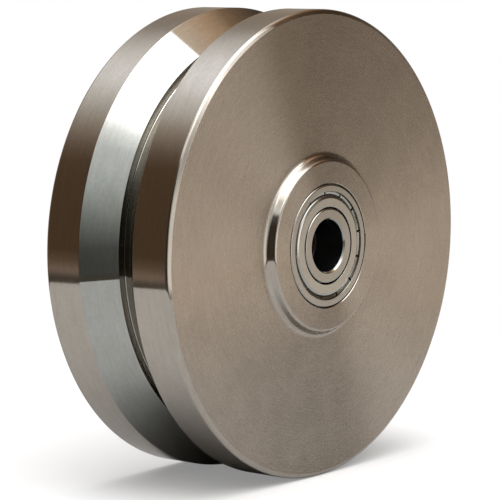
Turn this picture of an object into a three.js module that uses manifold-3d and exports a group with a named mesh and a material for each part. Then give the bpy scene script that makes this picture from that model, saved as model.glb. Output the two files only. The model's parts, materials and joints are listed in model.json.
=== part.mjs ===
// A solid steel V-groove track wheel that runs on two shielded deep-groove ball bearings.
// Millimetres. The wheel turns about the Y axis, the origin is the wheel's centre, and the
// "front" face and bearing are the ones on the -Y side. Both ends of the wheel are alike.

import * as THREE from 'three';
import { mergeVertices } from 'three/addons/utils/BufferGeometryUtils.js';
import Module from 'manifold-3d';

const wasm = await Module();
wasm.setup();

// Wheel: a 6 inch tread, 2 inches wide, 2 1/4 inches over the bosses
const TREAD_R = 76.2;
const RIM_HALF = 25.4;
const HUB_HALF = 28.575;
const RIM_BEVEL = 1.5;          // shallow bevel from each face to the tread, along the radius
const RIM_BEVEL_RISE = 0.8;     // and along the axle
const RIM_EDGE_R = 1.1;         // rounding between the bevel and the tread
const GROOVE_HALF = 11.1;       // half the groove's width at the tread
const FLOOR_HALF = 2.3;         // half the width of the groove's floor
const GROOVE_DEPTH = GROOVE_HALF - FLOOR_HALF;    // the two flanks stand at 90 degrees
const RELIEF_DEPTH = 2.6;       // square-cut relief at the bottom of the V
const BOSS_R = 28.5;            // raised boss on each face, half way up its tapered wall
const BOSS_TAPER = 0.7;
const BOSS_CORNER_R = 1.1;
const BOSS_FOOT_R = 2;

// Bearing: 17 mm bore, 40 mm outside, 12 mm wide
const BEARING_OUTER_R = 20;
const BEARING_BORE_R = 8.5;
const BEARING_HALF = 6;
const BEARING_Y = HUB_HALF - BEARING_HALF;        // the bearings lie flush with the bosses
const OUTER_CORNER = 0.6;
const BORE_CHAMFER = 0.6;
const BALL_COUNT = 8;
const BALL_R = 3.3735;
const BALL_SEGMENTS = 9;
const BALL_BANDS = 6;
const PITCH_R = 14.25;
const RUNNING_GAP = 0.1;        // between a ball and the bottom of either raceway
const RACE_R = 3.5;             // a raceway's radius across the ball
const INNER_LAND_R = 12.15;
const OUTER_LAND_R = 16.9;
const SHIELD_STEP_R = 17.7;     // where the shield's curled edge is seated in the outer ring
const SHIELD_STEP_HALF = 4.78;

// Shield: pressed sheet with a raised flat, a sloping shoulder and a curled edge
const SHIELD_BORE_R = 12.65;
const SHIELD_FLAT_R = 15.5;
const SHIELD_SHOULDER_R = 16.24;
const SHIELD_SHOULDER = 0.25;   // from the flat to the turn of the shoulder
const SHIELD_FOOT_R = 16.6;
const SHIELD_EDGE_R = 17.55;
const SHIELD_SHEET = 0.35;
const SHIELD_INSET = 0.15;      // from the ring's face to the shield's flat
const SHIELD_DROP = 0.5;        // from the flat to the top of the curled edge
const CURL_HEIGHT = 0.5;

// Cage: two pressed half rings, riveted together between the balls
const CAGE_IN_R = 13.05;
const CAGE_OUT_R = 15.45;
const CAGE_SHEET = 0.45;
const CAGE_REACH = 4.2;
const POCKET_IN_R = 3.62;
const POCKET_OUT_R = 4.05;
const POCKET_SIDES = 12;
const RIVET_R = 0.45;
const RIVET_HOLE_R = 0.57;
const RIVET_HEAD_R = 0.85;
const RIVET_CROWN_R = 0.5;      // flat top of the head
const RIVET_HEAD_HEIGHT = 0.35;
const RIVET_SIDES = 6;

// Hub: the bearings' seats and the tube that holds the inner rings apart
const SEAT_GAP = 0.02;
const SEAT_MOUTH = 0.3;
const HUB_BORE_R = 17;
const SPACER_IN_R = 8.7;
const SPACER_OUT_R = 11.4;
const HALF_GAP = 0.03;          // half the gap between faces that touch

const WHEEL_SIDES = 42;         // facets round the wheel, the outer rings and their seats
const RING_SIDES = 26;          // facets round the smaller rings
const CORNER_STEPS = 2;         // facets across a rounded corner
const RACE_STEPS = 3;           // facets across half a raceway
const MERGE_DISTANCE = 1e-5;

const steel = {
  wheel: { color: 0x9a9084, roughness: 0.3, metalness: 1 },
  ring: { color: 0xa8a39b, roughness: 0.22, metalness: 1 },
  shield: { color: 0xa39a8f, roughness: 0.28, metalness: 1 },
  ball: { color: 0xc4c6c8, roughness: 0.06, metalness: 1 },
  cage: { color: 0x9c9a94, roughness: 0.4, metalness: 1 },
  spacer: { color: 0x8d8a86, roughness: 0.4, metalness: 1 },
};

const point = (r, y) => new THREE.Vector2(r, y);
const degrees = THREE.MathUtils.degToRad;

// Points of an arc, both ends included; angles are in degrees from the radial direction.
function arc(r, y, radius, from, to, steps) {
  return Array.from({ length: steps + 1 }, (_, i) => {
    const angle = degrees(from + ((to - from) * i) / steps);
    return point(r + radius * Math.cos(angle), y + radius * Math.sin(angle));
  });
}

// A closed outline from its -Y half, which runs anticlockwise from inside to outside.
function bothHalves(half) {
  const back = half.filter((p) => p.y !== 0).map((p) => point(p.x, -p.y)).reverse();
  return [...half, ...back];
}

// A ring turned from a closed outline, with a facet rather than a corner towards +Z and -Z.
function turned(outline, sides) {
  return new THREE.LatheGeometry([...outline, outline[0]], sides, Math.PI / sides);
}

function toSolid(geometry) {
  const bare = geometry.clone();
  bare.deleteAttribute('normal');
  bare.deleteAttribute('uv');
  const merged = mergeVertices(bare, MERGE_DISTANCE);
  return new wasm.Manifold(new wasm.Mesh({
    numProp: 3,
    vertProperties: new Float32Array(merged.attributes.position.array),
    triVerts: new Uint32Array(merged.index.array),
  }));
}

function toGeometry(solid) {
  const mesh = solid.getMesh();
  const geometry = new THREE.BufferGeometry();
  geometry.setAttribute('position', new THREE.BufferAttribute(mesh.vertProperties, 3));
  geometry.setIndex(new THREE.BufferAttribute(mesh.triVerts, 1));
  geometry.computeVertexNormals();
  return geometry;
}

function piece(name, geometry, finish) {
  const mesh = new THREE.Mesh(geometry, new THREE.MeshStandardMaterial(finish));
  mesh.name = name;
  return mesh;
}

// The boss's tapered wall with its rounded corner and its filleted foot.
function bossWall() {
  const slope = (2 * BOSS_TAPER) / (HUB_HALF - RIM_HALF);
  const tilt = THREE.MathUtils.radToDeg(Math.atan(slope));
  const aside = Math.hypot(1, slope) - slope;
  const cornerR = BOSS_R - BOSS_TAPER - BOSS_CORNER_R * aside;
  const footR = BOSS_R + BOSS_TAPER + BOSS_FOOT_R * aside;
  return [
    ...arc(cornerR, -HUB_HALF + BOSS_CORNER_R, BOSS_CORNER_R, -90, -tilt, CORNER_STEPS),
    ...arc(footR, -RIM_HALF - BOSS_FOOT_R, BOSS_FOOT_R, 180 - tilt, 90, CORNER_STEPS),
  ];
}

// The edge between a face and the tread: a shallow bevel, rounded off towards the tread.
function rimEdge() {
  const tilt = Math.atan(RIM_BEVEL_RISE / RIM_BEVEL);
  const aside = (1 - Math.sin(tilt)) / Math.cos(tilt);
  const edgeY = -RIM_HALF + RIM_BEVEL_RISE + RIM_EDGE_R * aside;
  const from = THREE.MathUtils.radToDeg(tilt) - 90;
  return [
    point(TREAD_R - RIM_BEVEL, -RIM_HALF),
    ...arc(TREAD_R - RIM_EDGE_R, edgeY, RIM_EDGE_R, from, 0, CORNER_STEPS),
  ];
}

function wheelBody() {
  const seatR = BEARING_OUTER_R + SEAT_GAP;
  const seatEnd = HUB_HALF - 2 * BEARING_HALF - HALF_GAP;
  const half = [
    point(HUB_BORE_R, -seatEnd),
    point(seatR, -seatEnd),
    point(seatR, -HUB_HALF + SEAT_MOUTH),
    point(seatR + SEAT_MOUTH, -HUB_HALF),
    ...bossWall(),
    ...rimEdge(),
    point(TREAD_R, -GROOVE_HALF),
    point(TREAD_R - GROOVE_DEPTH, -FLOOR_HALF),
    point(TREAD_R - GROOVE_DEPTH - RELIEF_DEPTH, -FLOOR_HALF),
  ];
  return turned(bothHalves(half), WHEEL_SIDES);
}

// The rings and the balls are made about the bearing's own centre plane.
function outerRing() {
  const raceCentre = PITCH_R + BALL_R + RUNNING_GAP - RACE_R;
  const raceEnd = THREE.MathUtils.radToDeg(Math.acos((OUTER_LAND_R - raceCentre) / RACE_R));
  const half = [
    ...arc(raceCentre, 0, RACE_R, 0, -raceEnd, RACE_STEPS),
    point(OUTER_LAND_R, -SHIELD_STEP_HALF),
    point(SHIELD_STEP_R, -SHIELD_STEP_HALF),
    point(SHIELD_STEP_R, -BEARING_HALF),
    point(BEARING_OUTER_R - OUTER_CORNER, -BEARING_HALF),
    point(BEARING_OUTER_R, -BEARING_HALF + OUTER_CORNER),
  ];
  return turned(bothHalves(half), WHEEL_SIDES);
}

function innerRing() {
  const raceCentre = PITCH_R - BALL_R - RUNNING_GAP + RACE_R;
  const raceEnd = THREE.MathUtils.radToDeg(Math.acos((raceCentre - INNER_LAND_R) / RACE_R));
  const half = [
    point(BEARING_BORE_R, -BEARING_HALF + BORE_CHAMFER),
    point(BEARING_BORE_R + BORE_CHAMFER, -BEARING_HALF),
    point(INNER_LAND_R - OUTER_CORNER, -BEARING_HALF),
    point(INNER_LAND_R, -BEARING_HALF + OUTER_CORNER),
    ...arc(raceCentre, 0, -RACE_R, raceEnd, 0, RACE_STEPS),
  ];
  return turned(bothHalves(half), RING_SIDES);
}

// The shield on a bearing's -Y side.
function shield() {
  const face = -BEARING_HALF + SHIELD_INSET;
  const curlTop = face + SHIELD_DROP;
  const curlBottom = curlTop + CURL_HEIGHT;
  const curlRound = CURL_HEIGHT / 2;
  const outline = [
    point(SHIELD_BORE_R, face),
    point(SHIELD_FLAT_R, face),
    point(SHIELD_SHOULDER_R, face + SHIELD_SHOULDER),
    point(SHIELD_FOOT_R, curlTop),
    point(SHIELD_EDGE_R - curlRound, curlTop),
    point(SHIELD_EDGE_R, curlTop + curlRound),
    point(SHIELD_EDGE_R, curlBottom),
    point(SHIELD_FOOT_R, curlBottom),
    point(SHIELD_FLAT_R, face + SHIELD_SHEET),
    point(SHIELD_BORE_R, face + SHIELD_SHEET),
  ];
  return turned(outline, RING_SIDES);
}

const cageBand = (reach) => toSolid(turned([
  point(CAGE_IN_R, -reach), point(CAGE_OUT_R, -reach),
  point(CAGE_OUT_R, -HALF_GAP), point(CAGE_IN_R, -HALF_GAP),
], RING_SIDES));

// The angle of the ball with this number; the rivets stand half a pitch further on.
const ballAngle = (number) => (2 * Math.PI * number) / BALL_COUNT;
const onPitchCircle = (angle) => new THREE.Vector3(
  PITCH_R * Math.cos(angle), 0, PITCH_R * Math.sin(angle),
);
const rivetAngle = (number) => ballAngle(number + 0.5);

// A rod across a ball's place, pointing away from the bearing's axis.
function pocketRod(radius, number) {
  const rod = new THREE.CylinderGeometry(radius, radius, 2 * BALL_R, POCKET_SIDES);
  rod.rotateZ(-Math.PI / 2).rotateY(-ballAngle(number));
  return toSolid(rod.translate(...onPitchCircle(ballAngle(number)).toArray()));
}

function rivetHole(number) {
  const hole = new THREE.CylinderGeometry(RIVET_HOLE_R, RIVET_HOLE_R, 4 * CAGE_SHEET, RIVET_SIDES);
  return toSolid(hole.translate(...onPitchCircle(rivetAngle(number)).toArray()));
}

// The cage half on a bearing's -Y side: a flat ring that arches over each ball.
function cageHalf() {
  const band = cageBand(CAGE_REACH);
  let cage = cageBand(CAGE_SHEET);
  for (let number = 0; number < BALL_COUNT; number++) {
    cage = cage.add(pocketRod(POCKET_OUT_R, number).intersect(band));
  }
  for (let number = 0; number < BALL_COUNT; number++) {
    cage = cage.subtract(pocketRod(POCKET_IN_R, number)).subtract(rivetHole(number));
  }
  return toGeometry(cage);
}

function rivet() {
  const grip = CAGE_SHEET + 2 * HALF_GAP;
  const half = [
    point(0, -grip - RIVET_HEAD_HEIGHT),
    point(RIVET_CROWN_R, -grip - RIVET_HEAD_HEIGHT),
    point(RIVET_HEAD_R, -grip),
    point(RIVET_R, -grip),
  ];
  return new THREE.LatheGeometry(bothHalves(half), RIVET_SIDES);
}

function spacer() {
  const end = HUB_HALF - 2 * BEARING_HALF - HALF_GAP;
  return turned([
    point(SPACER_IN_R, -end), point(SPACER_OUT_R, -end),
    point(SPACER_OUT_R, end), point(SPACER_IN_R, end),
  ], RING_SIDES);
}

// One bearing about its own centre, its outboard side towards -Y.
function bearing(name) {
  const group = new THREE.Group();
  group.add(
    piece(`${name}_outer_ring`, outerRing(), steel.ring),
    piece(`${name}_inner_ring`, innerRing(), steel.ring),
    piece(`${name}_outboard_shield`, shield(), steel.shield),
    piece(`${name}_outboard_cage_half`, cageHalf(), steel.cage),
  );
  const inboard = new THREE.Group();
  inboard.rotation.x = Math.PI;
  inboard.add(
    piece(`${name}_inboard_shield`, shield(), steel.shield),
    piece(`${name}_inboard_cage_half`, cageHalf(), steel.cage),
  );
  group.add(inboard);
  for (let number = 0; number < BALL_COUNT; number++) {
    const round = new THREE.SphereGeometry(BALL_R, BALL_SEGMENTS, BALL_BANDS);
    const ball = piece(`${name}_ball_${number + 1}`, round, steel.ball);
    ball.position.copy(onPitchCircle(ballAngle(number)));
    const pin = piece(`${name}_cage_rivet_${number + 1}`, rivet(), steel.cage);
    pin.position.copy(onPitchCircle(rivetAngle(number)));
    group.add(ball, pin);
  }
  return group;
}

const wheel = new THREE.Group();
const front = bearing('front');
front.position.y = -BEARING_Y;
const rear = bearing('rear');
rear.position.y = BEARING_Y;
rear.rotation.x = Math.PI;
wheel.add(
  piece('wheel_body', wheelBody(), steel.wheel),
  piece('inner_spacer', spacer(), steel.spacer),
  front,
  rear,
);

export default wheel;
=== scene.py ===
# A solid stainless V-groove track wheel on two shielded ball bearings, in a plain studio.
# Metres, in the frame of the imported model: the wheel turns about Y, and its front is towards -Y.

import json
import math

import bpy
from mathutils import Matrix, Vector


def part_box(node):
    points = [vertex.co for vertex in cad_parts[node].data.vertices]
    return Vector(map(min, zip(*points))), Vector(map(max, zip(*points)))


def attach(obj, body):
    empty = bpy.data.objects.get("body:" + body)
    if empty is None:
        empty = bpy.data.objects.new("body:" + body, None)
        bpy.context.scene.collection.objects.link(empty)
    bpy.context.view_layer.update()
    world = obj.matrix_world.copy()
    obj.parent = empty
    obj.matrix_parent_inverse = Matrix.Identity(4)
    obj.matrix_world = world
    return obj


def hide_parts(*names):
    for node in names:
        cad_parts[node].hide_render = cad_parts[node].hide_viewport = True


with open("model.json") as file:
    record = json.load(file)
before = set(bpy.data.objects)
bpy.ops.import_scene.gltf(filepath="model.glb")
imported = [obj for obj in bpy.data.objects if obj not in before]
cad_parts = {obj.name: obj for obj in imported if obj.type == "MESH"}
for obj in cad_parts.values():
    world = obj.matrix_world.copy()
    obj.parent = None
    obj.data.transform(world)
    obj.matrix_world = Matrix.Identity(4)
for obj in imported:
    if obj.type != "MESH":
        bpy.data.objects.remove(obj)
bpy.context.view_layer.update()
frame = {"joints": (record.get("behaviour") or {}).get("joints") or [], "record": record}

MM = 0.001

# Fineness of the meshes
AROUND_WHEEL = 384
AROUND_BEARING = 240
AROUND_CURL = 16                # round one curl of a shield
AROUND_CAGE = 192
ACROSS_CAGE = 8
AROUND_RIVET = 24
BALL_STEPS = 24                 # from pole to pole
RACE_STEPS = 16
CORNER_STEPS = 6
EASE = 0.04 * MM                # from the end of a long stretch to the point that keeps it flat
LONG_STRETCH = 6 * EASE
SHARP_ANGLE = math.radians(28)

# Places and sizes that the frame gives
_, wheel_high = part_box("wheel_body")
ring_low, ring_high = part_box("front_outer_ring")
ball_low, ball_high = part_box("front_ball_1")
TREAD_R, HUB_HALF = wheel_high.x, wheel_high.y
BEARING_R = ring_high.x
BEARING_HALF = (ring_high.y - ring_low.y) / 2
BEARING_Y = -(ring_high.y + ring_low.y) / 2
BALL_R = (ball_high.y - ball_low.y) / 2
JOINTS = {joint["name"]: joint for joint in frame["joints"]}
PITCH_R = JOINTS["front_ball_1_spin"]["pos_m"][0]
BALL_COUNT = sum(name.startswith("front_ball") for name in JOINTS)
BALL_PITCH = math.tau / BALL_COUNT
BODY_OF = {
    node: body
    for body, nodes in frame["record"]["behaviour"]["bodies"].items()
    for node in nodes
}
SLOT_OF = {part["node"]: part["material_slot"] for part in frame["record"]["subparts"]}

# Roundings of small edges
HAIR_EDGE = 0.05 * MM
FINE_EDGE = 0.08 * MM
EDGE = 0.1 * MM
SOFT_EDGE = 0.12 * MM

# Wheel
RIM_HALF = 25.4 * MM
RIM_BEVEL = 1.5 * MM            # the tread's outer edges, along the radius and along the axle
RIM_BEVEL_RISE = 0.8 * MM
RIM_FACE_EDGE = 0.5 * MM        # roundings of the bevel, towards the face and the tread
RIM_TREAD_EDGE = 1.1 * MM
GROOVE_HALF = 11.1 * MM
GROOVE_FLOOR_HALF = 2.3 * MM
GROOVE_DEPTH = GROOVE_HALF - GROOVE_FLOOR_HALF
GROOVE_LIP = 0.18 * MM
RELIEF_DEPTH = 2.6 * MM         # square-cut relief at the bottom of the V
RELIEF_CORNER = 0.4 * MM
BOSS_R = 28.5 * MM              # half way up its tapered wall
BOSS_TAPER = 0.7 * MM
BOSS_CORNER = 1.1 * MM
BOSS_FOOT = 2.0 * MM
SEAT_MOUTH = 0.2 * MM
SEAT_GAP = 0.28 * MM            # round the outer rings, near the mouths of their seats
SEAT_GAP_DEPTH = 2 * MM
HUB_BORE_R = 17 * MM
HUB_BORE_EDGE = 0.3 * MM
SEAT_END = HUB_HALF - 2 * BEARING_HALF

# Bearing, about its own centre
BORE_R = 8.5 * MM
BORE_CHAMFER = 0.6 * MM
RING_CORNER = 0.6 * MM
INNER_LAND_R = 12.15 * MM
INNER_LAND_CORNER = 0.5 * MM
OUTER_LAND_R = 16.9 * MM
SHIELD_STEP_R = 17.7 * MM
SHIELD_STEP_HALF = 4.78 * MM
RUNNING_GAP = 0.1 * MM
RACE_R = 3.5 * MM
SPACER_IN_R = 8.7 * MM
SPACER_OUT_R = 11.4 * MM
SPACER_CHAMFER = 0.4 * MM

# Shield
SHIELD_BORE_R = 12.65 * MM
SHIELD_FLAT_R = 15.5 * MM
SHIELD_SHOULDER_R = 16.24 * MM
SHIELD_FOOT_R = 16.58 * MM
SHIELD_BEAD_R = 16.74 * MM
SHIELD_EDGE_R = 17.57 * MM
SHIELD_SHEET = 0.35 * MM
SHIELD_INSET = 0.12 * MM
SHIELD_SHOULDER = 0.28 * MM     # from the flat to the turn of the shoulder
SHIELD_DROP = 0.46 * MM         # from the flat to the crest of the curled edge
SHIELD_VALLEY = 0.46 * MM       # from that crest to the valley inside it
SHIELD_FLAT_TURN = 0.9 * MM     # roundings of the sheet, from the flat outwards
SHIELD_SHOULDER_TURN = 0.5 * MM
SHIELD_FOOT_TURN = 0.07 * MM
SHIELD_BEAD_TURN = 0.03 * MM
SHIELD_BACK_TURN = 0.3 * MM     # and on the back of the flat
CURL_HEIGHT = 0.63 * MM
BEAD_TILT = 0.22 * MM           # how much lower the inner side of the curled edge lies
CURL_COUNT = 13
CURL_PITCH = math.tau / CURL_COUNT
NOTCH_FLOOR = 0.56 * MM         # below the crest
NOTCH_HALF = math.radians(0.85)
NOTCH_REACH = 1.5 * NOTCH_HALF  # to the top of its sides
FIRST_NOTCH = 0.4               # its angle, as a share of the pitch of the curls

# Cage
CAGE_IN_R = 13.05 * MM
CAGE_OUT_R = 15.45 * MM
CAGE_SHEET = 0.45 * MM
CAGE_GAP = 0.03 * MM
POCKET_R = 3.6 * MM
RIVET_R = 0.45 * MM
RIVET_HEAD_R = 0.85 * MM
RIVET_HEAD_HEIGHT = 0.35 * MM
RIVET_HEAD = ((0, 1), (0.35, 0.93), (0.7, 0.65), (1, 0))  # shares of that radius and height

# Camera: a long lens, from the front left and a little above
VIEW_AZIMUTH = math.radians(-51.325)
VIEW_ELEVATION = math.radians(6.738)
VIEW_DISTANCE = 826.68 * MM
VIEW_LENS = 180                 # millimetres, like its sensor's width
VIEW_SENSOR = 36
VIEW_ASIDE = -3.17 * MM         # the lens points beside and below the wheel's centre
VIEW_BELOW = -3.48 * MM


# ---------------------------------------------------------------- meshes

def evenly(sides):
    """Angles evenly round a turn."""
    return [math.tau * side / sides for side in range(sides)]


def turned(radius, y, angle):
    """The point at an angle round Y, from +X towards +Z."""
    return radius * math.cos(angle), y, radius * math.sin(angle)


def rounded(corners):
    """The points of a closed outline whose (radius, y, rounding) corners are rounded off."""
    outline = []
    for index, (radius, y, rounding) in enumerate(corners):
        here = Vector((radius, y))
        if not rounding:
            outline.append(here)
            continue
        before = (Vector(corners[index - 1][:2]) - here).normalized()
        after = (Vector(corners[(index + 1) % len(corners)][:2]) - here).normalized()
        half = before.angle(after) / 2
        centre = here + (before + after).normalized() * rounding / math.sin(half)
        reach = rounding / math.tan(half)
        start = here + before * reach - centre
        end = here + after * reach - centre
        sweep = math.pi - 2 * half
        for step in range(CORNER_STEPS + 1):
            angle = sweep * step / CORNER_STEPS
            blend = start * math.sin(sweep - angle) + end * math.sin(angle)
            outline.append(centre + blend / math.sin(sweep))
    return outline


def mirrored(half):
    """The corners of a section's +Y half from those of its -Y half."""
    return [(radius, -y, rounding) for radius, y, rounding in reversed(half)]


def eased(outline):
    """The outline with a point close to each end of its long stretches, to keep them flat."""
    points = []
    for index, here in enumerate(outline):
        there = outline[(index + 1) % len(outline)]
        along = there - here
        points.append(here)
        if along.length > LONG_STRETCH:
            points.append(here + along.normalized() * EASE)
            points.append(there - along.normalized() * EASE)
    return points


def solid(name, vertices, faces):
    """A smooth mesh object with its sharp edges kept."""
    mesh = bpy.data.meshes.new(name)
    mesh.from_pydata([tuple(v) for v in vertices], [], faces)
    mesh.validate()
    mesh.shade_smooth()
    mesh.set_sharp_from_angle(angle=SHARP_ANGLE)
    piece = bpy.data.objects.new(name, mesh)
    bpy.context.scene.collection.objects.link(piece)
    return piece


def lathe(name, outline, angles, shape=None):
    """A ring turned about Y from a closed outline that runs anticlockwise in (radius, y).
    shape(point, angle) may move an outline point at some angles."""
    points = eased(outline)
    count = len(points)
    vertices, faces = [], []
    for side, angle in enumerate(angles):
        for point in points:
            radius, y = shape(point, angle) if shape else point
            vertices.append(turned(radius, y, angle))
        here, there = side * count, (side + 1) % len(angles) * count
        for index in range(count):
            after = (index + 1) % count
            faces.append((here + index, here + after, there + after, there + index))
    return solid(name, vertices, faces)


def spun(name, outline, sides):
    """A solid turned about Y from an open outline whose two ends lie on the axis."""
    middle = outline[1:-1]
    count = len(middle)
    vertices = [(0, outline[0].y, 0), (0, outline[-1].y, 0)]
    faces = []
    for side, angle in enumerate(evenly(sides)):
        vertices += [turned(point.x, point.y, angle) for point in middle]
        here, there = 2 + side * count, 2 + (side + 1) % sides * count
        faces.append((0, here, there))
        faces.append((there + count - 1, here + count - 1, 1))
        for index in range(count - 1):
            faces.append((here + index, here + index + 1, there + index + 1, there + index))
    return solid(name, vertices, faces)


def wheel_body(name):
    """The wheel in one piece: half its section, from the bore to the boss, tread and groove."""
    half = [
        (HUB_BORE_R, -SEAT_END, HUB_BORE_EDGE),
        (BEARING_R, -SEAT_END, EDGE),
        (BEARING_R, SEAT_GAP_DEPTH - HUB_HALF, 0),
        (BEARING_R + SEAT_GAP, SEAT_GAP_DEPTH - HUB_HALF, 0),
        (BEARING_R + SEAT_GAP, SEAT_MOUTH - HUB_HALF, HAIR_EDGE),
        (BEARING_R + SEAT_GAP + SEAT_MOUTH, -HUB_HALF, FINE_EDGE),
        (BOSS_R - BOSS_TAPER, -HUB_HALF, BOSS_CORNER),
        (BOSS_R + BOSS_TAPER, -RIM_HALF, BOSS_FOOT),
        (TREAD_R - RIM_BEVEL, -RIM_HALF, RIM_FACE_EDGE),
        (TREAD_R, RIM_BEVEL_RISE - RIM_HALF, RIM_TREAD_EDGE),
        (TREAD_R, -GROOVE_HALF, GROOVE_LIP),
        (TREAD_R - GROOVE_DEPTH, -GROOVE_FLOOR_HALF, SOFT_EDGE),
        (TREAD_R - GROOVE_DEPTH - RELIEF_DEPTH, -GROOVE_FLOOR_HALF, RELIEF_CORNER),
    ]
    return lathe(name, rounded(half + mirrored(half)), evenly(AROUND_WHEEL))


def spacer(name):
    """The tube between the inner rings."""
    half = [
        (SPACER_IN_R, -SEAT_END, SPACER_CHAMFER / 2),
        (SPACER_OUT_R, -SEAT_END, SPACER_CHAMFER),
    ]
    return lathe(name, rounded(half + mirrored(half)), evenly(AROUND_BEARING))


def race(centre, middle, reach):
    """Sharp corners along a raceway, clockwise from reach above its middle angle to reach below."""
    angles = (middle + reach - 2 * reach * step / RACE_STEPS for step in range(RACE_STEPS + 1))
    return [(centre + RACE_R * math.cos(a), RACE_R * math.sin(a), 0) for a in angles]


def outer_ring(name):
    """An outer ring, with a step at each end that holds a shield."""
    half = [
        (OUTER_LAND_R, -SHIELD_STEP_HALF, HAIR_EDGE),
        (SHIELD_STEP_R, -SHIELD_STEP_HALF, 0),
        (SHIELD_STEP_R, -BEARING_HALF, FINE_EDGE),
        (BEARING_R, -BEARING_HALF, RING_CORNER),
    ]
    centre = PITCH_R + BALL_R + RUNNING_GAP - RACE_R
    reach = math.acos((OUTER_LAND_R - centre) / RACE_R)
    section = half + mirrored(half) + race(centre, 0, reach)
    return lathe(name, rounded(section), evenly(AROUND_BEARING))


def inner_ring(name):
    """An inner ring, with a chamfered bore."""
    half = [
        (BORE_R, BORE_CHAMFER - BEARING_HALF, EDGE),
        (BORE_R + BORE_CHAMFER, -BEARING_HALF, EDGE),
        (INNER_LAND_R, -BEARING_HALF, INNER_LAND_CORNER),
    ]
    centre = PITCH_R - BALL_R - RUNNING_GAP + RACE_R
    reach = math.acos((centre - INNER_LAND_R) / RACE_R)
    section = half + race(centre, math.pi, reach) + mirrored(half)
    return lathe(name, rounded(section), evenly(AROUND_BEARING))


def shield_angles():
    """Angles round a shield, close together at the notches between its curls."""
    curl = CURL_PITCH - 2 * NOTCH_REACH
    angles = []
    for number in range(CURL_COUNT):
        notch = (number + FIRST_NOTCH) * CURL_PITCH
        angles += [notch - NOTCH_REACH, notch - NOTCH_HALF, notch + NOTCH_HALF]
        angles += [notch + NOTCH_REACH + curl * step / AROUND_CURL for step in range(AROUND_CURL)]
    return angles


def notched(point, angle):
    """Sinks the shield's curled edge at the notches between its curls."""
    if point.x < SHIELD_FOOT_R:
        return point
    off = abs((angle / CURL_PITCH - FIRST_NOTCH + 0.5) % 1 - 0.5) * CURL_PITCH
    sink = max(0, min(1, (NOTCH_REACH - off) / (NOTCH_REACH - NOTCH_HALF)))
    floor = SHIELD_INSET + SHIELD_DROP - BEARING_HALF + NOTCH_FLOOR
    return point.x, point.y + sink * max(0, floor - point.y)


def shield(name):
    """The pressed shield on a bearing's -Y side."""
    face = SHIELD_INSET - BEARING_HALF
    crest = face + SHIELD_DROP
    valley = crest + SHIELD_VALLEY
    section = [
        (SHIELD_BORE_R, face, EDGE),
        (SHIELD_FLAT_R, face, SHIELD_FLAT_TURN),
        (SHIELD_SHOULDER_R, face + SHIELD_SHOULDER, SHIELD_SHOULDER_TURN),
        (SHIELD_FOOT_R, valley, SHIELD_FOOT_TURN),
        (SHIELD_BEAD_R, valley, SHIELD_BEAD_TURN),
        (SHIELD_BEAD_R, crest + BEAD_TILT, SOFT_EDGE),
        (SHIELD_EDGE_R, crest, SOFT_EDGE),
        (SHIELD_EDGE_R, crest + CURL_HEIGHT, EDGE),
        (SHIELD_SHOULDER_R, crest + CURL_HEIGHT, EDGE),
        (SHIELD_FLAT_R, face + SHIELD_SHEET, SHIELD_BACK_TURN),
        (SHIELD_BORE_R, face + SHIELD_SHEET, EDGE),
    ]
    return lathe(name, rounded(section), shield_angles(), notched)


def cage_half(name):
    """The pressed cage half on a bearing's -Y side: a strip that domes over each ball."""
    inside, outside = [], []
    for angle in evenly(AROUND_CAGE):
        off = (angle / BALL_PITCH + 0.5) % 1 - 0.5
        beside = PITCH_R * off * BALL_PITCH
        for step in range(ACROSS_CAGE + 1):
            radius = CAGE_IN_R + (CAGE_OUT_R - CAGE_IN_R) * step / ACROSS_CAGE
            away = math.hypot(beside, radius - PITCH_R)
            for skin, sheet in ((inside, 0), (outside, CAGE_SHEET)):
                dome = math.sqrt(max(0, (POCKET_R + sheet) ** 2 - away ** 2))
                skin.append(turned(radius, -CAGE_GAP - max(sheet, dome), angle))
    lift, width = len(inside), ACROSS_CAGE + 1
    faces = []
    for side in range(AROUND_CAGE):
        here, there = side * width, (side + 1) % AROUND_CAGE * width
        for step in range(ACROSS_CAGE):
            a, b, c, d = here + step, here + step + 1, there + step + 1, there + step
            faces.append((d, c, b, a))
            faces.append((a + lift, b + lift, c + lift, d + lift))
        faces.append((here, here + lift, there + lift, there))
        here, there = here + ACROSS_CAGE, there + ACROSS_CAGE
        faces.append((there, there + lift, here + lift, here))
    return solid(name, inside + outside, faces)


def rivet(name):
    """A rivet with two round heads that holds the cage halves together."""
    grip = CAGE_SHEET + CAGE_GAP
    half = [Vector((across * RIVET_HEAD_R, -grip - up * RIVET_HEAD_HEIGHT))
            for across, up in RIVET_HEAD]
    half.append(Vector((RIVET_R, -grip)))
    return spun(name, half + [Vector((p.x, -p.y)) for p in reversed(half)], AROUND_RIVET)


def ball(name):
    """A ball with its poles on Y."""
    angles = [math.pi * (step / BALL_STEPS - 0.5) for step in range(BALL_STEPS + 1)]
    outline = [Vector((BALL_R * math.cos(a), BALL_R * math.sin(a))) for a in angles]
    return spun(name, outline, 2 * BALL_STEPS)


# ---------------------------------------------------------------- nodes

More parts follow.
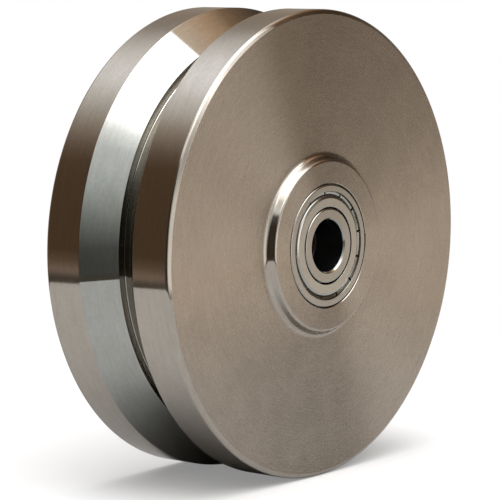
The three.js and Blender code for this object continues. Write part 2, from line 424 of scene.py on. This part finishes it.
class Nodes:
    """Short calls that add nodes to a tree. An input is given by its name or its number."""

    def __init__(self, tree):
        self.tree = tree
        tree.nodes.clear()

    def new(self, kind, inputs=(), **settings):
        """Adds a node, with each input linked to a socket or set to a value."""
        node = self.tree.nodes.new(kind)
        for key, value in settings.items():
            setattr(node, key, value)
        for key, value in dict(inputs).items():
            if isinstance(value, bpy.types.NodeSocket):
                self.tree.links.new(value, node.inputs[key])
            else:
                node.inputs[key].default_value = value
        return node

    def add(self, kind, inputs=(), output=0, **settings):
        """Adds a node and gives one of its output sockets."""
        return self.new(kind, inputs, **settings).outputs[output]

    def math(self, operation, *values):
        return self.add("ShaderNodeMath", enumerate(values), operation=operation)

    def scaled(self, value, low, high, to_low, to_high, smooth=False):
        """The value carried from one range to another and held at its ends."""
        kind = "SMOOTHSTEP" if smooth else "LINEAR"
        inputs = enumerate((value, low, high, to_low, to_high))
        return self.add("ShaderNodeMapRange", inputs, interpolation_type=kind)

    def mix(self, share, first, second):
        """Two colours mixed; 0, 6, 7 and 2 are the numbers of the node's colour sockets."""
        inputs = {0: share, 6: first, 7: second}
        return self.add("ShaderNodeMix", inputs, output=2, data_type="RGBA")

    def split(self, vector):
        """The three parts of a vector."""
        return self.new("ShaderNodeSeparateXYZ", {0: vector}).outputs

    def noise(self, vector, scale, detail, roughness, fourth=None):
        """Noise in three dimensions, or in four where a fourth coordinate is given."""
        inputs = {"Vector": vector, "Scale": scale, "Detail": detail, "Roughness": roughness}
        if fourth is None:
            return self.add("ShaderNodeTexNoise", inputs)
        return self.add("ShaderNodeTexNoise", inputs | {"W": fourth}, noise_dimensions="4D")

    def seen_as(self, picture, light):
        """One shader for what the camera sees straight on, another for mirrors and as light."""
        straight = self.add("ShaderNodeLightPath", output="Is Camera Ray")
        return self.add("ShaderNodeMixShader", enumerate((straight, light, picture)))


def colour(red, green, blue):
    return (red, green, blue, 1.0)


# ---------------------------------------------------------------- materials

DULL_STEEL = colour(0.12, 0.1, 0.08)    # what the rings and the patches darken towards
RELIEF_HEIGHT = 0.02 * MM
RELIEF_STRENGTH = 0.1
FACE_RELIEF = 0.6               # the share of it on the wheel's flat sides
STREAK_RELIEF = 0.6             # how high the streaks stand beside the scratches
DULL_BY_CLOUD = 0.16            # the most that each kind of noise darkens or roughens
DULL_BY_STREAKS = 0.14
DULL_BY_GRAIN = 0.12
ROUGH_BY_CLOUD = 0.03
ROUGH_BY_SCRATCHES = 0.03
SMOOTH_BY_SCRATCHES = 0.02
QUARTER_TURN = 0.25             # draws the reflections out across the rings
NEAR_AXIS = 0.01 * MM
GROOVE_START = 0.1 * MM         # below the treads
# The painted shade inside a bore fades out over this range
BORE_SHADE_BLEND = (0.05 * MM, 0.2 * MM)      # outside the bore
# The painted shade in a shield's notches fades out over this range
NOTCH_SHADE_BLEND = (0.42 * MM, 0.3 * MM)       # below the crest of a shield's curled edge


class Turned(Nodes):
    """The nodes of a surface turned about Y, with the places and the noise of its finish."""

    def __init__(self, tree):
        super().__init__(tree)
        place = self.add("ShaderNodeTexCoord", output="Object")
        x, self.y, z = self.split(place)
        squares = self.math("ADD", self.math("MULTIPLY", x, x), self.math("MULTIPLY", z, z))
        self.radius = self.math("SQRT", squares)
        divisor = self.math("MAXIMUM", self.radius, NEAR_AXIS)
        self.across = self.math("DIVIDE", x, divisor)
        self.aloft = self.math("DIVIDE", z, divisor)
        self.streaks = self.rings(per_mm=1.4, reach=9.0)
        self.scratches = self.rings(per_mm=5.0, reach=26.0)
        self.cloud = self.noise(place, scale=60.0, detail=6.0, roughness=0.65)
        self.grain = self.noise(place, scale=900.0, detail=3.0, roughness=0.7)

    def rings(self, per_mm, reach):
        """Noise that is long along the rings; reach is how quickly it changes round them."""
        vector = self.add("ShaderNodeCombineXYZ", enumerate((
            self.math("MULTIPLY", self.radius, per_mm / MM),
            self.math("MULTIPLY", self.y, per_mm / MM),
            self.math("MULTIPLY", self.across, reach),
        )))
        fourth = self.math("MULTIPLY", self.aloft, reach)
        return self.noise(vector, scale=1.0, detail=2.0, roughness=0.6, fourth=fourth)

    def spread(self, noise, least, most, low=0.3, high=0.7):
        """A noise with its usual range carried to another."""
        return self.scaled(noise, low, high, least, most)

    def in_groove(self):
        """1 in the V groove and its relief."""
        between = self.math("LESS_THAN", self.math("ABSOLUTE", self.y), GROOVE_HALF)
        below = self.math("LESS_THAN", self.radius, TREAD_R - GROOVE_START)
        return self.math("MULTIPLY", between, below)

    def on_face(self):
        """1 where the surface is square to the axle."""
        _, along, _ = self.split(self.add("ShaderNodeTexCoord", output="Normal"))
        return self.scaled(self.math("ABSOLUTE", along), 0.9, 0.99, 0.0, 1.0)

    def bore_shade_mask(self):
        """1 inside a bearing's bore, where shade and a bluish reflection are painted."""
        start, end = BORE_SHADE_BLEND
        return self.scaled(self.radius, BORE_R + start, BORE_R + end, 1.0, 0.0)

    def notch_shade_mask(self):
        """1 in a shield's notches and behind its shoulder, where shade is painted."""
        start, end = NOTCH_SHADE_BLEND
        off = self.math("ABSOLUTE", self.math("SUBTRACT", self.math("ABSOLUTE", self.y), BEARING_Y))
        crest = BEARING_HALF - SHIELD_INSET - SHIELD_DROP
        return self.scaled(off, crest - start, crest - end, 1.0, 0.0)

    def dulling(self, lines, mottle):
        """How far the steel is darkened by its patches, streaks and grain."""
        cloud = self.spread(self.cloud, 0.0, DULL_BY_CLOUD * mottle, high=0.75)
        streaks = self.spread(self.streaks, 0.0, DULL_BY_STREAKS * lines)
        grain = self.spread(self.grain, 0.0, DULL_BY_GRAIN * mottle)
        return self.math("ADD", cloud, self.math("ADD", streaks, grain))

    def roughness(self, middle, lines, mottle):
        """The steel's roughness, made uneven by its scratches and its patches."""
        smooth, rough = middle - SMOOTH_BY_SCRATCHES, middle + ROUGH_BY_SCRATCHES * lines
        scratches = self.spread(self.scratches, smooth, rough)
        cloud = self.spread(self.cloud, 0.0, ROUGH_BY_CLOUD * mottle, low=0.35)
        return self.math("ADD", scratches, cloud)

    def relief(self, strength):
        """The surface's normal, with the streaks and the scratches standing up."""
        height = self.math("ADD", self.math("MULTIPLY", self.streaks, STREAK_RELIEF), self.scratches)
        inputs = {"Strength": strength, "Distance": RELIEF_HEIGHT, "Height": height}
        return self.add("ShaderNodeBump", inputs)


def turned_steel(name, base, roughness, stretch, lines=1.0, mottle=1.0, face=None, groove=None,
                 bore=None, notch_shade=None):
    """Steel cut or ground on a lathe: fine rings round Y, with reflections drawn out across them.
    lines and mottle are how strongly the rings and the cloudy patches show. face is the colour
    and the extra roughness of the wheel's flat sides, groove the colour of its groove and how much
    of the roughness and the relief is left there, bore the painted shade, with a painted bluish
    reflection, inside a bearing's bore, and notch_shade the painted shade in a shield's notches
    and behind its shoulder."""
    material = bpy.data.materials.new(name)
    material.use_nodes = True
    nodes = Turned(material.node_tree)
    body = base
    rough = nodes.roughness(roughness, lines, mottle)
    strength = RELIEF_STRENGTH * lines
    if groove:
        tint, polish = groove
        in_groove = nodes.in_groove()
        body = nodes.mix(in_groove, body, tint)
        left = nodes.scaled(in_groove, 0.0, 1.0, 1.0, polish)
    if face:
        tint, extra = face
        on_face = nodes.on_face()
        body = nodes.mix(on_face, body, tint)
        rough = nodes.math("ADD", rough, nodes.math("MULTIPLY", on_face, extra))
        strength = nodes.scaled(on_face, 0.0, 1.0, strength, FACE_RELIEF * strength)
    if groove:
        rough = nodes.math("MULTIPLY", rough, left)
        strength = nodes.math("MULTIPLY", strength, left)
    # Painted shade and a painted bluish reflection: darker, bluer steel inside a bearing's bore
    if bore:
        body = nodes.mix(nodes.bore_shade_mask(), body, bore)
    # Painted shade: near-black steel in a shield's notches and behind its shoulder
    if notch_shade:
        body = nodes.mix(nodes.notch_shade_mask(), body, notch_shade)
    shader = nodes.add("ShaderNodeBsdfPrincipled", {
        "Base Color": nodes.mix(nodes.dulling(lines, mottle), body, DULL_STEEL),
        "Metallic": 1.0,
        "Roughness": rough,
        "Anisotropic": stretch,
        "Anisotropic Rotation": QUARTER_TURN,
        "Tangent": nodes.add("ShaderNodeTangent", direction_type="RADIAL", axis="Y"),
        "Normal": nodes.relief(strength),
    })
    nodes.new("ShaderNodeOutputMaterial", {"Surface": shader})
    return material


FINISHES = {
    "turned_stainless": dict(
        base=colour(0.385, 0.355, 0.315), roughness=0.1, stretch=1.0,
        face=(colour(0.34, 0.296, 0.25), 0.155), groove=(colour(0.355, 0.368, 0.35), 0.45)),
    "ground_ring_steel": dict(
        base=colour(0.31, 0.3, 0.275), roughness=0.19, stretch=0.6, lines=0.4, mottle=0.6,
        # The bore colour is painted shade with a painted bluish reflection
        bore=colour(0.22, 0.245, 0.25)),
    "pressed_shield_steel": dict(
        base=colour(0.34, 0.335, 0.31), roughness=0.16, stretch=0.3, lines=0.3, mottle=0.8,
        # The near-black here is painted shade in the shield's notches and behind its shoulder
        notch_shade=colour(0.02, 0.018, 0.016)),
    "polished_ball_steel": dict(
        base=colour(0.7, 0.71, 0.72), roughness=0.08, stretch=0.0, lines=0.1, mottle=0.3),
    "cage_strip_steel": dict(
        base=colour(0.5, 0.49, 0.47), roughness=0.38, stretch=0.0, lines=0.3, mottle=1.2),
    # spacer_steel is far darker than the other steels: painted shade, which darkens the view down
    # the bearings' bores
    "spacer_steel": dict(
        base=colour(0.12, 0.115, 0.11), roughness=0.35, stretch=0.5),
}
STEELS = {name: turned_steel(name, **finish) for name, finish in FINISHES.items()}


# ---------------------------------------------------------------- the wheel's pieces

def stand_for(node, piece, *moves):
    """Moves and finishes a piece that shows in place of a CAD node."""
    for move in moves:
        piece.data.transform(move)
    piece.data.materials.append(STEELS[SLOT_OF[node]])
    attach(piece, BODY_OF[node])
    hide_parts(node)


def bearing(end, place):
    """One bearing. place carries it from its own centre, outboard side to -Y, to the wheel."""
    outboard, inboard = Matrix.Identity(4), Matrix.Rotation(math.pi, 4, "X")
    for node, make in (("outer_ring", outer_ring), ("inner_ring", inner_ring)):
        name = f"{end}_{node}"
        stand_for(name, make(f"{name}_ground"), place)
    for node, make in (("shield", shield), ("cage_half", cage_half)):
        for side, turn in (("outboard", outboard), ("inboard", inboard)):
            name = f"{end}_{side}_{node}"
            stand_for(name, make(f"{name}_pressed"), turn, place)
    for number in range(BALL_COUNT):
        for node, make, share in (("ball", ball, 0), ("cage_rivet", rivet, 0.5)):
            name = f"{end}_{node}_{number + 1}"
            spot = Matrix.Translation(turned(PITCH_R, 0, (number + share) * BALL_PITCH))
            stand_for(name, make(f"{name}_finished"), spot, place)


stand_for("wheel_body", wheel_body("wheel_body_turned"))
stand_for("inner_spacer", spacer("inner_spacer_turned"))
bearing("front", Matrix.Translation((0, -BEARING_Y, 0)))
bearing("rear", Matrix.Translation((0, BEARING_Y, 0)) @ Matrix.Rotation(math.pi, 4, "X"))


# ---------------------------------------------------------------- studio

TABLE_R = 0.3
TABLE_SIDES = 96
TABLE_GREY = 0.43               # the light that the table throws back on the wheel
TABLE_GLOW = 0.25               # keeps its shadow faint; no other surface mirrors it


def grey(value):
    return (value, value, value)


def white_table():
    """Matt grey to the wheel, with a weak glow that only the camera sees."""
    material = bpy.data.materials.new("white_table")
    material.use_nodes = True
    nodes = Nodes(material.node_tree)
    matt = nodes.add("ShaderNodeBsdfDiffuse", {"Color": colour(*grey(TABLE_GREY))})
    glow = nodes.add("ShaderNodeEmission", {"Color": colour(*grey(1)), "Strength": TABLE_GLOW})
    glowing = nodes.add("ShaderNodeAddShader", enumerate((matt, glow)))
    nodes.new("ShaderNodeOutputMaterial", {"Surface": nodes.seen_as(glowing, matt)})
    return material


def table_top():
    """A pale round table top under the wheel."""
    ring = [(TABLE_R * math.cos(a), TABLE_R * math.sin(a), -TREAD_R) for a in evenly(TABLE_SIDES)]
    piece = solid("table_top", ring, [tuple(range(TABLE_SIDES))])
    piece.data.materials.append(white_table())


# The light round the studio. A wall stands at each azimuth, with its colours at some elevations,
# from the lowest up, and the light goes smoothly from wall to wall. Angles are in degrees, and
# azimuth 0 is in front of the wheel and 90 on the right.
BRIGHTEST = 7.0                 # a colour ramp holds the colours as shares of this
OVERHEAD = grey(BRIGHTEST)
WHITE_BOX = grey(3.2)
BLACK = (0.03, 0.03, 0.025)
DARK_SIDE = (0.13, 0.13, 0.125)
BROWN = (0.112, 0.072, 0.042)
SKIRTING = (1.05, 0.93, 0.8)
FRONT_TOP = ((62, WHITE_BOX), (71, OVERHEAD))
SIDE_TOP = ((41, grey(1.3)), (55, grey(1.2)), (64, WHITE_BOX), (71, OVERHEAD))
BACK_TOP = ((67, (1.7, 1.75, 1.8)), (76, grey(5.0)))
BACK_WALL = (
    (-9, (0.3, 0.23, 0.18)), (0, (0.42, 0.34, 0.28)), (35, (0.4, 0.32, 0.27)),
    (40, (0.65, 0.58, 0.52)), (46, (1.05, 1.06, 1.07)), (52, (1.6, 1.68, 1.78)), *BACK_TOP,
)
STUDIO = (
    # Behind and on the left: brown, pale higher up
    (-180, BACK_WALL),
    (-156, (
        (-9, (0.25, 0.2, 0.16)), (32, (0.22, 0.16, 0.12)), (41, (0.5, 0.45, 0.4)),
        (49, (1.05, 1.07, 1.08)), (62, (1.5, 1.6, 1.7)), *BACK_TOP,
    )),
    (-136, (
        (-12, (0.35, 0.27, 0.22)), (-8, (0.18, 0.13, 0.09)), (-4, BROWN), (29, BROWN),
        (36, (0.22, 0.16, 0.12)), (43, (0.5, 0.43, 0.37)), (52, (1.2, 1.15, 1.1)), *BACK_TOP,
    )),
    (-100, ((-9, BROWN), (24, BROWN), (36, (0.15, 0.12, 0.1)), *SIDE_TOP)),
    # Left of the front: black, then a grey that grows paler upwards, under a white box
    (-66, ((-9, BLACK), (25, BLACK), (36, grey(0.12)), *SIDE_TOP)),
    (-48, (
        (-9, BLACK), (20, BLACK), (27, grey(0.12)), (38, grey(1.5)), (46, WHITE_BOX), *FRONT_TOP,
    )),
    (-39, (
        (-9, DARK_SIDE), (-3, (0.16, 0.16, 0.155)), (7, (0.42, 0.43, 0.42)), (21, (0.8, 0.82, 0.8)),
        (33, (1.05, 1.06, 1.06)), (40, grey(1.6)), (46, WHITE_BOX), *FRONT_TOP,
    )),
    # In front: pale low down, white from bottom to top at 14 degrees, and darker from there on
    (-12, (
        (-9, (1.3, 1.27, 1.22)), (8, (1.1, 1.08, 1.04)), (16, (0.6, 0.57, 0.53)),
        (34, (1.1, 1.08, 1.05)), (43, WHITE_BOX), *FRONT_TOP,
    )),
    (4, (
        (-9, (1.5, 1.47, 1.42)), (8, (1.2, 1.17, 1.12)), (16, (0.6, 0.57, 0.53)),
        (34, (1.2, 1.18, 1.15)), (43, WHITE_BOX), *FRONT_TOP,
    )),
    (14, ((-9, (1.1, 1.05, 1.0)), (-4, grey(2.0)), (43, WHITE_BOX), *FRONT_TOP)),
    (24, (
        (-9, SKIRTING), (-4, (0.6, 0.53, 0.46)), (2, (0.3, 0.26, 0.22)), (21, (0.5, 0.46, 0.42)),
        (30, (1.4, 1.36, 1.3)), (44, WHITE_BOX), *FRONT_TOP,
    )),
    (44, (
        (-9, SKIRTING), (-5, (0.72, 0.63, 0.54)), (2, (0.2, 0.165, 0.13)), (25, (0.3, 0.26, 0.22)),
        (38, (0.8, 0.75, 0.7)), (44, WHITE_BOX), *FRONT_TOP,
    )),
    # On the right, past a sharp edge: brown above a pale skirting, and orange higher up
    (45.5, (
        (-9, SKIRTING), (-5, (0.72, 0.63, 0.54)), (0, (0.12, 0.09, 0.06)), (30, (0.11, 0.08, 0.055)),
        (42, (0.4, 0.27, 0.18)), (52, (0.9, 0.63, 0.45)), (62, (1.1, 0.86, 0.68)), *BACK_TOP,
    )),
    (72, (
        (-9, SKIRTING), (-5, (0.8, 0.7, 0.6)), (1, (0.1, 0.075, 0.055)), (32, (0.08, 0.052, 0.033)),
        (45, (0.45, 0.27, 0.155)), (55, (0.9, 0.6, 0.4)), (65, (1.0, 0.84, 0.7)), *BACK_TOP,
    )),
    (95, (
        (-9, (0.6, 0.51, 0.43)), (-4, (0.3, 0.25, 0.21)), (21, (0.2, 0.165, 0.135)),
        (30, (0.1, 0.072, 0.05)), (45, (0.3, 0.19, 0.12)), (55, (0.7, 0.58, 0.47)),
        (65, (1.1, 1.05, 1.0)), *BACK_TOP,
    )),
    (135, (
        (-9, (0.35, 0.29, 0.24)), (8, (0.3, 0.25, 0.2)), (24, (0.3, 0.245, 0.2)),
        (36, (0.36, 0.31, 0.26)), (46, (0.95, 0.94, 0.93)), (62, (1.5, 1.6, 1.7)), *BACK_TOP,
    )),
    (180, BACK_WALL),
)
BELOW_TABLE = (0.1, 0.085, 0.07)
BELOW_START, BELOW_END = -11.0, -15.0   # the walls fade to it between these elevations
LIGHT = 1.33                    # how much brighter the whole studio is than its colours say


def shares(tint):
    """A colour of the studio as shares of the brightest one."""
    return colour(*(part / BRIGHTEST for part in tint))


def wall(nodes, height, stops):
    """The light up one wall; height runs from 0 straight below to 1 straight above."""
    ramp = nodes.new("ShaderNodeValToRGB", {0: height})
    elements = ramp.color_ramp.elements
    while len(elements) < len(stops):
        elements.new(0.5)
    for element, (degrees, tint) in zip(elements, stops):
        element.position = (degrees + 90) / 180
        element.color = shares(tint)
    return ramp.outputs[0]


def studio_light():
    """The walls light the wheel, and the camera sees plain white in their place."""
    world = bpy.data.worlds.new("studio")
    bpy.context.scene.world = world
    world.use_nodes = True
    nodes = Nodes(world.node_tree)
    x, y, z = nodes.split(nodes.add("ShaderNodeTexCoord", output="Generated"))
    around = nodes.math("ARCTAN2", x, nodes.math("MULTIPLY", y, -1.0))
    azimuth = nodes.math("MULTIPLY", around, math.degrees(1))
    elevation = nodes.math("MULTIPLY", nodes.math("ARCSINE", z), math.degrees(1))
    height = nodes.scaled(elevation, -90.0, 90.0, 0.0, 1.0)
    light = wall(nodes, height, STUDIO[0][1])
    for (before, _), (here, stops) in zip(STUDIO, STUDIO[1:]):
        share = nodes.scaled(azimuth, before, here, 0.0, 1.0, smooth=True)
        light = nodes.mix(share, light, wall(nodes, height, stops))
    below = nodes.scaled(elevation, BELOW_START, BELOW_END, 0.0, 1.0, smooth=True)
    light = nodes.mix(below, light, shares(BELOW_TABLE))
    lit = nodes.add("ShaderNodeBackground", {"Color": light, "Strength": BRIGHTEST * LIGHT})
    plain = nodes.add("ShaderNodeBackground", {"Color": colour(*grey(1)), "Strength": 1.0})
    nodes.new("ShaderNodeOutputWorld", {"Surface": nodes.seen_as(plain, lit)})


def camera():
    """The camera, which looks at a point a little beside the wheel's centre."""
    data = bpy.data.cameras.new("camera")
    data.lens = VIEW_LENS
    data.sensor_width = VIEW_SENSOR
    eye = bpy.data.objects.new("camera", data)
    bpy.context.scene.collection.objects.link(eye)
    level = math.cos(VIEW_ELEVATION)
    back = Vector((
        math.sin(VIEW_AZIMUTH) * level,
        -math.cos(VIEW_AZIMUTH) * level,
        math.sin(VIEW_ELEVATION),
    ))
    right = Vector((math.cos(VIEW_AZIMUTH), math.sin(VIEW_AZIMUTH), 0))
    up = back.cross(right)
    turn = Matrix((right, up, back)).transposed().to_4x4()
    place = back * VIEW_DISTANCE + right * VIEW_ASIDE + up * VIEW_BELOW
    eye.matrix_world = Matrix.Translation(place) @ turn
    bpy.context.scene.camera = eye


table_top()
studio_light()
camera()
bpy.context.scene.view_settings.view_transform = "Standard"
